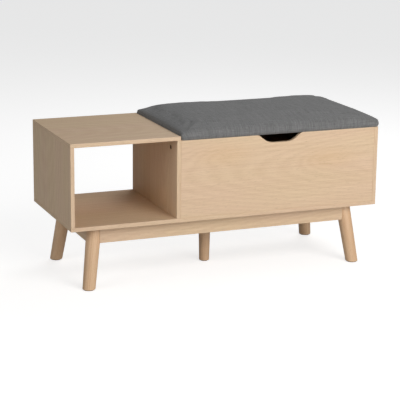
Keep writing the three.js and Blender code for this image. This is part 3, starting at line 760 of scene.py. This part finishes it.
def plated_steel(name, streaks=(1.2 * mm, 14 * mm, 1.2 * mm), light="#d0d3d6", dark="#bfc2c6"):
    """Bright zinc plate on rolled steel: a cool grey with a soft rolled streak, cloudy
    patches and a few dull stains. Shiny, but not a mirror."""
    made, tree = new_material(name)
    place = add(tree, "TexCoord", out="Object")
    rolled = noise_at(tree, place, streaks, 3)
    cloud = noise_at(tree, place, (16 * mm, 16 * mm, 16 * mm), 2)
    stain = noise_at(tree, place, (9 * mm, 9 * mm, 9 * mm), 3, 0.62, 0.8)
    tone = times(tree, rolled, 0.5)
    tone = times(tree, cloud, 0.5, tone)
    colour = mix(tree, tone, dark, light)
    share = times(tree, stain, 0.2)
    colour = mix(tree, share, colour, "#99978f")
    rough = add(tree, "MapRange", {"Value": tone, "To Min": 0.4, "To Max": 0.33})
    rough = times(tree, stain, 0.08, rough)
    surface(tree, colour, rough, rolled, 0.25, 0.02 * mm, Metallic=1.0)
    return made


def rounding(thing, width):
    """Adds a modifier that rounds sharper edges a little, as pressing and plating do."""
    made = thing.modifiers.new("rounding", "BEVEL")
    made.width = width
    made.segments = 2
    made.limit_method = "ANGLE"
    made.angle_limit = math.radians(40)


def bevel(thing, width):
    """Rounds an object's sharper edges in its mesh."""
    rounding(thing, width)
    return settle(thing)


def pulled(outline, start, end):
    """The mesh of an (a, b) outline pulled along X from start to end; a is Y and b is Z."""
    made = bmesh.new()
    near = [made.verts.new((start, a, b)) for a, b in outline]
    far = [made.verts.new((end, a, b)) for a, b in outline]
    made.faces.new(near)
    made.faces.new(list(reversed(far)))
    for k in range(len(outline)):
        n = (k + 1) % len(outline)
        made.faces.new([near[n], near[k], far[k], far[n]])
    bmesh.ops.recalc_face_normals(made, faces=made.faces)
    return as_mesh(made, "pulled")


def countersunk_screw():
    """A cross-head wood screw with its head's face at height 0 and its point below."""
    length, head, shank, rim = 10 * mm, 2.9 * mm, 1.45 * mm, 0.2 * mm
    profile = [(0, 0), (head * 0.9, 0), (head, -rim), (shank, -1.5 * mm)]
    pitch, level = 1.1 * mm, -2.2 * mm
    while level > -(length - 3 * mm):
        profile += [(shank * 0.72, level), (shank, level - pitch * 0.35)]
        profile += [(shank, level - pitch * 0.45), (shank * 0.72, level - pitch * 0.8)]
        level -= pitch
    profile += [(shank * 0.72, level), (0, -length)]
    made = link("screw", turned(profile[::-1], 32))
    return carve(made, cross_tool(1.7 * mm, 0.36 * mm, 1.1 * mm, 0.35))


def pan_screw():
    """A cross-head pan-head screw: its head stands on height 0, and its point is below."""
    length, head, rise, shank = 9 * mm, 3.4 * mm, 1.9 * mm, 1.6 * mm
    profile = [(0, rise), (head * 0.45, rise * 0.96), (head * 0.75, rise * 0.8)]
    profile += [(head * 0.95, rise * 0.45), (head, 0), (shank, 0)]
    profile += [(shank, -length + 2 * mm), (0, -length)]
    made = link("screw", turned(profile[::-1], 32))
    tool = cross_tool(1.9 * mm, 0.4 * mm, 1.2 * mm, 0.4)
    tool.transform(Matrix.Translation((0, 0, rise)))
    return carve(made, tool)


def countersink(thing, spots):
    """Cuts a hole with a conical mouth for a countersunk screw at each (place, direction)."""
    hole, mouth = 1.7 * mm, 3.2 * mm
    profile = [(0, -2.5 * mm), (hole, -2.5 * mm), (hole, -1.5 * mm)]
    profile += [(mouth, -0.15 * mm), (mouth, 0.5 * mm), (0, 0.5 * mm)]
    sinks = []
    for place, direction in spots:
        sink = turned(profile, 32)
        sink.transform(turn_to(place, direction))
        sinks.append(sink)
    return carve(thing, *sinks)


def placed(master, name, spots):
    """One object with a copy of the master's mesh at each (place, direction of its head)."""
    made = bmesh.new()
    for place, direction in spots:
        copy = master.data.copy()
        copy.transform(turn_to(place, direction))
        made.from_mesh(copy)
        bpy.data.meshes.remove(copy)
    return crisp(link(name, as_mesh(made, name)))


def centre_of(node):
    low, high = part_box(node)
    return (low + high) / 2


zinc_plate = plated_steel("zinc_plate")
zinc_screws = plated_steel("zinc_screws", (1.2 * mm, 1.2 * mm, 1.2 * mm), "#d6d6d3", "#c0c1c1")
screw = countersunk_screw()
pan = pan_screw()
leaf = 1.5 * mm
knuckle = 3 * mm
curl = 288  # degrees that the end of a leaf turns round the pin
gap = 0.3 * mm


def curled(flat_length):
    """A leaf in section, about the pin: a flat strip whose end curls round."""
    inner = knuckle - leaf
    turns = [math.radians(curl * k / 40) for k in range(41)]
    inside = [(inner * math.cos(t), inner * math.sin(t)) for t in turns]
    outside = [(knuckle * math.cos(t), knuckle * math.sin(t)) for t in reversed(turns)]
    return [(knuckle, -flat_length), (inner, -flat_length), *inside, *outside]


for side in ("left", "right"):
    pin_low, pin_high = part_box("hinge_pin_" + side)
    pin = (pin_low + pin_high) / 2
    leaf_low, leaf_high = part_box("hinge_body_leaf_" + side)
    lid_low, lid_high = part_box("hinge_lid_leaf_" + side)
    start, end = leaf_low.x, leaf_high.x
    middle_x = (start + end) / 2
    third = (end - start) / 3
    body_outline = [(pin.y - u, pin.z + v) for u, v in curled(pin.z - leaf_low.z)]
    lid_outline = [(pin.y + v, pin.z + u) for u, v in curled(pin.y - lid_low.y)]

    body_leaf = link("hinge_strip_body_" + side, pulled(body_outline, start, end))
    room = block(
        (middle_x - third / 2 - gap, leaf_low.y - 1 * mm, pin.z - knuckle - gap),
        (middle_x + third / 2 + gap, leaf_high.y + 1 * mm, pin.z + knuckle + 1 * mm),
    )
    lid_leaf = link("hinge_strip_lid_" + side, pulled(lid_outline, start, end))
    rooms = [
        block(
            (min(a, b), pin.y - knuckle - gap, pin.z - knuckle - 1 * mm),
            (max(a, b), pin.y + knuckle + 1 * mm, pin.z + knuckle + 1 * mm),
        )
        for a, b in (
            (start - 1 * mm, middle_x - third / 2 + gap / 2),
            (end + 1 * mm, middle_x + third / 2 - gap / 2),
        )
    ]
    carve(body_leaf, room)
    carve(lid_leaf, *rooms)
    spots = {"body": [], "lid": []}
    for index in ("1", "2"):
        at = centre_of("hinge_body_screw_" + side + "_" + index)
        spots["body"].append(((at.x, leaf_low.y + leaf, at.z), (0, 1, 0)))
        at = centre_of("hinge_lid_screw_" + side + "_" + index)
        spots["lid"].append(((at.x, at.y, lid_high.z - leaf), (0, 0, -1)))
    for piece, part in ((body_leaf, "body"), (lid_leaf, "lid")):
        countersink(piece, spots[part])
        bevel(piece, 0.18 * mm)
        body = "carcass" if part == "body" else "lid"
        node = "hinge_" + part + "_leaf_" + side
        finished(crisp(piece), zinc_plate, body, "zinc_steel", node)
        for index, spot in enumerate(spots[part]):
            node = "hinge_" + part + "_screw_" + side + "_" + str(index + 1)
            set_screw = placed(screw, node + "_cross_head", [spot])
            finished(set_screw, zinc_screws, body, "zinc_steel", node)

    # The pin, with its ends upset to domes so that it can't slide out.
    pin_length = pin_high.x - pin_low.x
    radius = 1.43 * mm
    profile = [(0, 0)] + arc(0.5 * mm, (radius - 0.5 * mm, 0.5 * mm), -90, 0, 4)
    profile += arc(0.5 * mm, (radius - 0.5 * mm, pin_length - 0.5 * mm), 0, 90, 4)
    profile += [(0, pin_length)]
    shape = turned(profile, 32)
    shape.transform(turn_to((pin_low.x, pin.y, pin.z), (1, 0, 0)))
    pin_piece = link("hinge_pin_" + side + "_domed", shape)
    finished(crisp(pin_piece), zinc_screws, "carcass", "zinc_steel", "hinge_pin_" + side)


# ---------------------------------------------------------------- lid stay
# A folding stay of pressed zinc-plated strip at the right end of the box: a wall plate, two
# arms and a bent bracket under the lid, on domed rivets. A peg stops it with the lid upright.


def rounded_strip(start, end, half, x0, x1, name):
    """A flat arm with round ends, between two pivots in (Y, Z)."""
    heading = math.atan2(end[1] - start[1], end[0] - start[0])
    outline = []
    for pivot, first in ((start, heading + math.pi / 2), (end, heading - math.pi / 2)):
        for k in range(25):
            t = first + math.pi * k / 24
            outline.append((pivot[0] + half * math.cos(t), pivot[1] + half * math.sin(t)))
    return link(name, pulled(outline, x0, x1))


def punch(thing, x0, x1, *at):
    """Punches a rivet hole through a plate at each of some pivots."""
    hole = 2.3 * mm
    tools = []
    for pivot in at:
        through = x1 - x0 + 2 * mm
        tool = turned([(0, 0), (hole, 0), (hole, through), (0, through)], 32)
        tool.transform(turn_to((x0 - 1 * mm, *pivot), (1, 0, 0)))
        tools.append(tool)
    return carve(thing, *tools)


def rounded_plate(low, high, radius, x0, x1, name):
    """A flat plate with rounded corners, between two corners in (Y, Z)."""
    outline = []
    for (y, z), first in (
        ((high[0] - radius, high[1] - radius), 0),
        ((low[0] + radius, high[1] - radius), 90),
        ((low[0] + radius, low[1] + radius), 180),
        ((high[0] - radius, low[1] + radius), 270),
    ):
        outline += arc(radius, (y, z), first, first + 90, 8)
    return link(name, pulled(outline, x0, x1))


def rivet_profile(radius, head, rise, low, high, both):
    """A rivet's (radius, height) outline, with a domed head at its top or at both ends."""
    turns = [math.radians(degrees) for degrees in range(0, 91, 10)]
    dome = [(head * math.cos(t), rise * math.sin(t)) for t in turns]
    foot = [(r, low - h) for r, h in reversed(dome)] if both else [(0, low)]
    return [*foot, (radius, low), (radius, high), *((r, high + h) for r, h in dome)]


def joined(thing, *meshes):
    """Adds meshes to an object's own, each as a shell of its own."""
    whole = bmesh.new()
    for mesh in (thing.data, *meshes):
        whole.from_mesh(mesh)
    whole.to_mesh(thing.data)
    whole.free()


stay_steel = plated_steel("stay_steel", (2 * mm, 12 * mm, 2 * mm), "#cdd0d3", "#bbbec2")
pivots = {}
for name in ("wall", "elbow", "lid"):
    middle = centre_of("stay_" + name + "_rivet")
    pivots[name] = (middle.y, middle.z)
arm_half = 7 * mm

lower_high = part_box("stay_lower_arm")[1]
upper_low, upper_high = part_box("stay_upper_arm")
lower_x = (upper_high.x + 0.5 * mm, lower_high.x)
run = Vector(pivots["elbow"]) - Vector(pivots["wall"])
tail = Vector(pivots["elbow"]) + run.normalized() * 12 * mm
lower = rounded_strip(pivots["wall"], tail, arm_half, *lower_x, "stay_lower_strip")
punch(lower, *lower_x, pivots["wall"], pivots["elbow"])
bevel(lower, 0.3 * mm)
peg_points = [v.co for v in nodes["stay_lower_arm"].data.vertices if v.co.x < upper_high.x]
peg = sum(peg_points, Vector()) / len(peg_points)
peg_length = lower_x[0] - upper_low.x + 0.5 * mm
profile = [(0, 0), *arc(0.4 * mm, (1.6 * mm, 0.4 * mm), -90, 0, 3)]
profile += [(2 * mm, peg_length), (0, peg_length)]
peg_mesh = turned(profile, 32)
peg_mesh.transform(turn_to((upper_low.x, peg.y, peg.z), (1, 0, 0)))
joined(lower, peg_mesh)
finished(crisp(lower), stay_steel, "stay_lower", "zinc_steel", "stay_lower_arm")

upper_x = (upper_low.x, upper_high.x)
upper = rounded_strip(pivots["elbow"], pivots["lid"], arm_half, *upper_x, "stay_upper_strip")
punch(upper, *upper_x, pivots["elbow"], pivots["lid"])
bevel(upper, 0.3 * mm)
finished(crisp(upper), stay_steel, "stay_upper", "zinc_steel", "stay_upper_arm")

plate_low, plate_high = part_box("stay_wall_plate")
plate = rounded_plate(
    (plate_low.y, plate_low.z),
    (plate_high.y, plate_high.z),
    3 * mm,
    plate_low.x,
    plate_high.x,
    "stay_wall_pressing",
)
# The lower arm passes close over the plate, so its screws lie flush.
spots = [
    ((plate_low.x, pivots["wall"][0] + offset, pivots["wall"][1]), (-1, 0, 0))
    for offset in (-14 * mm, 14 * mm)
]
punch(plate, plate_low.x, plate_high.x, pivots["wall"])
countersink(plate, spots)
bevel(plate, 0.3 * mm)
finished(crisp(plate), stay_steel, "carcass", "zinc_steel", "stay_wall_plate")
finished(placed(screw, "stay_wall_screws", spots), zinc_screws, "carcass", "zinc_steel")

# The bracket is an ear beside the upper arm, bent from a flange under the lid board.
bracket_low, bracket_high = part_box("stay_lid_bracket")
thick_steel = 2 * mm
ear_x = (bracket_high.x - thick_steel, bracket_high.x)
ear = rounded_plate(
    (pivots["lid"][0] - 12 * mm, pivots["lid"][1] - arm_half),
    (pivots["lid"][0] + 12 * mm, bracket_high.z + 6 * mm),
    5 * mm,
    *ear_x,
    "stay_lid_pressing",
)
above_board = block(
    (bracket_low.x, bracket_low.y, bracket_high.z - 0.5 * mm),
    (bracket_high.x + 1 * mm, bracket_high.y, bracket_high.z + 20 * mm),
)
carve(ear, above_board)
flange = rounded_plate((-22 * mm, -12 * mm), (22 * mm, 12 * mm), 4 * mm, 0, thick_steel, "flange")
# The flange is laid flat under the lid board: its thickness turns from X to Z.
laid_flat = Matrix((
    (0, 0, 1, (bracket_low.x + bracket_high.x) / 2),
    (0, 1, 0, pivots["lid"][0]),
    (1, 0, 0, bracket_high.z - thick_steel),
    (0, 0, 0, 1),
))
flange.data.transform(laid_flat)
flange.data.flip_normals()
join_tool = flange.data.copy()
bpy.data.objects.remove(flange)
carve(ear, join_tool, operation="UNION")
punch(ear, *ear_x, pivots["lid"])
bevel(ear, 0.3 * mm)
finished(crisp(ear), stay_steel, "lid", "zinc_steel", "stay_lid_bracket")
flange_x = bracket_low.x + 8 * mm
spots = [
    ((flange_x, pivots["lid"][0] + offset, bracket_high.z - thick_steel), (0, 0, -1))
    for offset in (-14 * mm, 14 * mm)
]
finished(placed(pan, "stay_bracket_screws", spots), zinc_screws, "lid", "zinc_steel")

for name, body in (("wall", "carcass"), ("elbow", "stay_lower"), ("lid", "lid")):
    node = "stay_" + name + "_rivet"
    low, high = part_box(node)
    rise = 0.8 * mm
    both = name != "wall"
    length = high.x - low.x
    lower_end = rise if both else 0
    profile = rivet_profile(2 * mm, 4 * mm, rise, lower_end, length - rise, both)
    shape = turned(profile, 32)
    shape.transform(turn_to((high.x, *pivots[name]), (-1, 0, 0)))
    finished(crisp(link(node + "_domed", shape)), zinc_screws, body, "zinc_steel", node)


# ---------------------------------------------------------------- leg fixings
# In each corner a bent zinc-plated strip is screwed to both rails, and a hanger bolt through it
# draws the leg into the corner with a washer and a hexagon nut. A double-ended bolt joins the
# centre leg to its rail.


def thread(radius, start, end, pitch):
    """Profile points of a thread, drawn as rings one pitch apart."""
    points = []
    level = start
    while level + pitch <= end:
        points += [(radius * 0.86, level), (radius, level + pitch * 0.45)]
        points += [(radius, level + pitch * 0.55)]
        level += pitch
    return points + [(radius * 0.86, level)]


brace_steel = plated_steel("brace_steel", (10 * mm, 10 * mm, 1.5 * mm), "#cccfd1", "#b6b9bd")
for name, (side_x, side_y) in leg_places.items():
    if name == "centre":
        continue
    low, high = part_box(name + "_corner_brace")
    brace = nodes[name + "_corner_brace"]
    brace.data.materials[0] = brace_steel
    weld = brace.modifiers.new("weld", "WELD")
    weld.merge_threshold = 0.01 * mm
    rounding(brace, 0.3 * mm)
    near_x, far_x = sorted([low.x, high.x], key=abs)
    near_y, far_y = sorted([low.y, high.y], key=abs)
    middle_z = (low.z + high.z) / 2
    spots = []
    for level in (middle_z - 10 * mm, middle_z + 10 * mm):
        on_long_rail = (near_x + side_x * 11 * mm, far_y - side_y * 2 * mm, level)
        on_side_rail = (far_x - side_x * 2 * mm, near_y + side_y * 11 * mm, level)
        spots += [(on_long_rail, (0, -side_y, 0)), (on_side_rail, (-side_x, 0, 0))]
    screws = placed(pan, name + "_brace_screws", spots)
    finished(screws, zinc_screws, "carcass", "zinc_steel")

    # The bolt lies on the corner's diagonal, level with the middle of the rails.
    bolt_points = [v.co for v in nodes[name + "_hanger_bolt"].data.vertices]
    inward = Vector((-side_x, -side_y, 0)).normalized()
    reach = [point.dot(inward) for point in bolt_points]
    tail_end, leg_end = max(reach), min(reach)
    centre = centre_of(name + "_hanger_bolt")
    axis_point = centre + inward * (tail_end - centre.dot(inward))
    length = tail_end - leg_end
    nut_top = -3 * mm
    nut_foot = nut_top - 5.8 * mm
    radius = 4 * mm
    profile = [(0, -length), (radius * 0.5, -length + 4 * mm)]
    profile += thread(radius, -length + 5 * mm, nut_foot - 3.4 * mm, 2.6 * mm)
    profile += thread(radius, nut_foot - 0.4 * mm, -0.6 * mm, 1.25 * mm)
    profile += [(radius * 0.8, 0), (0, 0)]
    bolt = link(name + "_threaded_bolt", turned(profile, 32))
    across = 7.5 * mm
    hexagon = turned([(0, nut_foot), (across, nut_foot), (across, nut_top), (0, nut_top)], 6)
    nut = link("nut", hexagon)
    face, edge, chamfer = 6.4 * mm, 7.7 * mm, 0.75 * mm
    profile = [(0, nut_foot), (face, nut_foot), (edge, nut_foot + chamfer)]
    profile += [(edge, nut_top - chamfer), (face, nut_top), (0, nut_top)]
    carve(nut, turned(profile, 48), operation="INTERSECT")
    hole, rim = 4.2 * mm, 9 * mm
    profile = [(hole, nut_foot - 0.95 * mm), (rim - 0.2 * mm, nut_foot - 0.95 * mm)]
    profile += [(rim, nut_foot - 0.8 * mm), (rim, nut_foot - 0.15 * mm)]
    profile += [(rim - 0.2 * mm, nut_foot), (hole, nut_foot)]
    washer = turned(profile, 48)
    joined(bolt, nut.data, washer)
    bpy.data.objects.remove(nut)
    bolt.data.transform(turn_to(axis_point, inward))
    finished(crisp(bolt), zinc_screws, "carcass", "zinc_steel", name + "_hanger_bolt")

low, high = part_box("centre_leg_bolt")
length = high.z - low.z
profile = [(0, 0), (2.8 * mm, 1.5 * mm)]
profile += thread(4 * mm, 2 * mm, length - 2 * mm, 2.6 * mm)
profile += [(2.8 * mm, length - 1.5 * mm), (0, length)]
shape = turned(profile, 32)
shape.transform(Matrix.Translation((0, 0, low.z)))
centre_bolt = link("centre_threaded_bolt", shape)
finished(crisp(centre_bolt), zinc_screws, "carcass", "zinc_steel", "centre_leg_bolt")
for master in (screw, pan):
    bpy.data.objects.remove(master)


# ---------------------------------------------------------------- staples
# Flat-wire staples of galvanised steel, shot through the turned-under hem into the lid board.
# They lie about 32 mm apart, a little unevenly, and there are none at the hinge leaves.


def staple(place, along):
    """The rings of corners of a staple's wire: up one leg, along its back and up the other."""
    span, width, wire = 10 * mm, 1 * mm, 0.5 * mm
    side = Vector((-along.y, along.x, 0))
    bend = 0.55 * mm
    path = [(-span / 2, 1 * mm)]
    for k in range(5):
        t = math.radians(180 + 90 * k / 4)
        path.append((-span / 2 + bend + bend * math.cos(t), bend + bend * math.sin(t)))
    path += [(-a, b) for a, b in reversed(path)]
    # The flat wire in section, with its corners cut, as shares of its width and thickness.
    section = [(-0.4, 0), (0.4, 0), (0.5, 0.25), (0.5, 0.75)]
    section += [(0.4, 1), (-0.4, 1), (-0.5, 0.75), (-0.5, 0.25)]
    rings = []
    for index, (a, b) in enumerate(path):
        before, after = path[max(0, index - 1)], path[min(len(path) - 1, index + 1)]
        heading = math.atan2(after[1] - before[1], after[0] - before[0])
        normal = (-math.sin(heading), math.cos(heading))
        ring = []
        for w, h in section:
            corner = place + along * (a + normal[0] * h * wire) + side * (w * width)
            ring.append(corner + Vector((0, 0, b + normal[1] * h * wire)))
        rings.append(ring)
    return rings


made = bmesh.new()
from_edge = 14.5 * mm
spacing = 32 * mm
start = Vector((seat_middle.x, seat_middle.y, hem_level - 0.35 * mm))
lines = [
    (Vector((1, 0, 0)), seat_half.x, Vector((0, -(seat_half.y - from_edge), 0))),
    (Vector((1, 0, 0)), seat_half.x, Vector((0, seat_half.y - from_edge, 0))),
    (Vector((0, 1, 0)), seat_half.y, Vector((-(seat_half.x - from_edge), 0, 0))),
    (Vector((0, 1, 0)), seat_half.y, Vector((seat_half.x - from_edge, 0, 0))),
]
for along, half_length, offset in lines:
    count = int((half_length - 24 * mm) // (spacing / 2))
    for k in range(-count, count + 1, 2):
        place = start + offset + along * (k * spacing / 2)
        if offset.y > 0 and any(a - 7 * mm < place.x < b + 7 * mm for a, b in leaf_rooms):
            continue
        place += along * (1.5 * mm * noise.noise(place * 40))
        previous = None
        for ring in staple(place, along):
            corners = [made.verts.new(point) for point in ring]
            if previous:
                for c in range(8):
                    n = (c + 1) % 8
                    made.faces.new([previous[c], previous[n], corners[n], corners[c]])
            else:
                made.faces.new(corners)
            previous = corners
        made.faces.new(list(reversed(previous)))
bmesh.ops.recalc_face_normals(made, faces=made.faces)
staples = link("hem_staples", as_mesh(made, "hem_staples"))
staple_wire = plated_steel("staple_wire", (1 * mm, 1 * mm, 1 * mm), "#d2d1cc", "#bdbcb6")
finished(crisp(staples), staple_wire, "lid", "zinc_steel")


# ---------------------------------------------------------------- floor, light and camera
# A pale seamless floor under a white background. Three large soft boxes stand in front, high,
# middle and low, a smaller one at the left and one behind at the right, with a weak even fill.

floor_mesh = bpy.data.meshes.new("floor")
far = 60
corners = [(-far, -far, 0), (far, -far, 0), (far, far, 0), (-far, far, 0)]
floor_mesh.from_pydata(corners, [], [(0, 1, 2, 3)])
link("floor", floor_mesh)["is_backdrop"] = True

# Matt white paper. To the camera it glows a little, so that it is nearly white round the
# bench, and on to the bench it throws back only what such paper would.
paper, tree = new_material("white_paper")
seen = add(tree, "LightPath", out="Is Camera Ray")
glow = add(tree, "Emission", {"Color": linear("#ffffff"), "Strength": 0.72})
bright = add(tree, "BsdfDiffuse", {"Color": (0.55, 0.55, 0.55, 1)})
lit = add(tree, "AddShader", {0: glow, 1: bright})
dull = add(tree, "BsdfDiffuse", {"Color": (0.6, 0.6, 0.6, 1)})
both = add(tree, "MixShader", {0: seen, 1: dull, 2: lit})
tree.links.new(both, tree.nodes.new("ShaderNodeOutputMaterial").inputs["Surface"])
floor_mesh.materials.append(paper)

# The background is white to the camera, and only a weak cool fill to the bench.
world = bpy.data.worlds.new("studio")
bpy.context.scene.world = world
world.use_nodes = True
tree = world.node_tree
tree.nodes.clear()
seen = add(tree, "LightPath", out="Is Camera Ray")
fill = add(tree, "Background", {"Color": (0.96, 0.98, 1, 1), "Strength": 0.12})
white = add(tree, "Background", {"Color": (1, 1, 1, 1), "Strength": 1.0})
both = add(tree, "MixShader", {0: seen, 1: fill, 2: white})
tree.links.new(both, tree.nodes.new("ShaderNodeOutputWorld").inputs["Surface"])

middle = (cad_low + cad_high) / 2


def soft_box(name, azimuth, elevation, distance, width, height, watts, colour):
    """A rectangular light that faces the bench. Azimuth 0 is in front, 90 at the right."""
    lamp = bpy.data.lights.new(name, "AREA")
    lamp.shape = "RECTANGLE"
    lamp.size = width
    lamp.size_y = height
    lamp.energy = watts
    lamp.color = linear(colour)[:3]
    holder = bpy.data.objects.new(name, lamp)
    turn, rise = math.radians(azimuth), math.radians(elevation)
    towards = Vector(
        (math.sin(turn) * math.cos(rise), -math.cos(turn) * math.cos(rise), math.sin(rise))
    )
    holder.location = middle + towards * distance
    holder.rotation_mode = "QUATERNION"
    holder.rotation_quaternion = towards.to_track_quat("Z", "Y")
    bpy.context.scene.collection.objects.link(holder)


soft_box("high_key", 5, 35, 4.0, 2.2, 1.8, 36, "#fffcf8")
soft_box("right_key", 25, 28, 4.0, 2.2, 1.8, 37, "#fffcf8")
soft_box("low_key", 15, 10, 4.0, 2.2, 1.8, 43, "#fffcf8")
soft_box("back", 140, 50, 3.0, 1.6, 1.0, 24, "#ffffff")
soft_box("left", -70, 20, 3.5, 2.0, 1.6, 22, "#ffffff")

bpy.context.scene.view_settings.view_transform = "Standard"

# A long lens, in front and to the left of the bench, tilted down on to it.
eye = Vector((-1.7070, -4.1431, 1.3343))
yaw, pitch, roll = math.radians(22.20), math.radians(14.25), math.radians(0.67)
ahead = Vector(
    (math.sin(yaw) * math.cos(pitch), math.cos(yaw) * math.cos(pitch), -math.sin(pitch))
)
right = Vector((math.cos(yaw), -math.sin(yaw), 0))
up = right.cross(ahead)
camera_x = math.cos(roll) * right + math.sin(roll) * up
camera_y = -math.sin(roll) * right + math.cos(roll) * up
camera = bpy.data.objects.new("camera", bpy.data.cameras.new("camera"))
camera.data.lens = 132.1
camera.data.sensor_width = 36
camera.matrix_world = Matrix.Translation(eye) @ Matrix(
    (camera_x, camera_y, -ahead)
).transposed().to_4x4()
bpy.context.scene.collection.objects.link(camera)
bpy.context.scene.camera = camera

low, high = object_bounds()
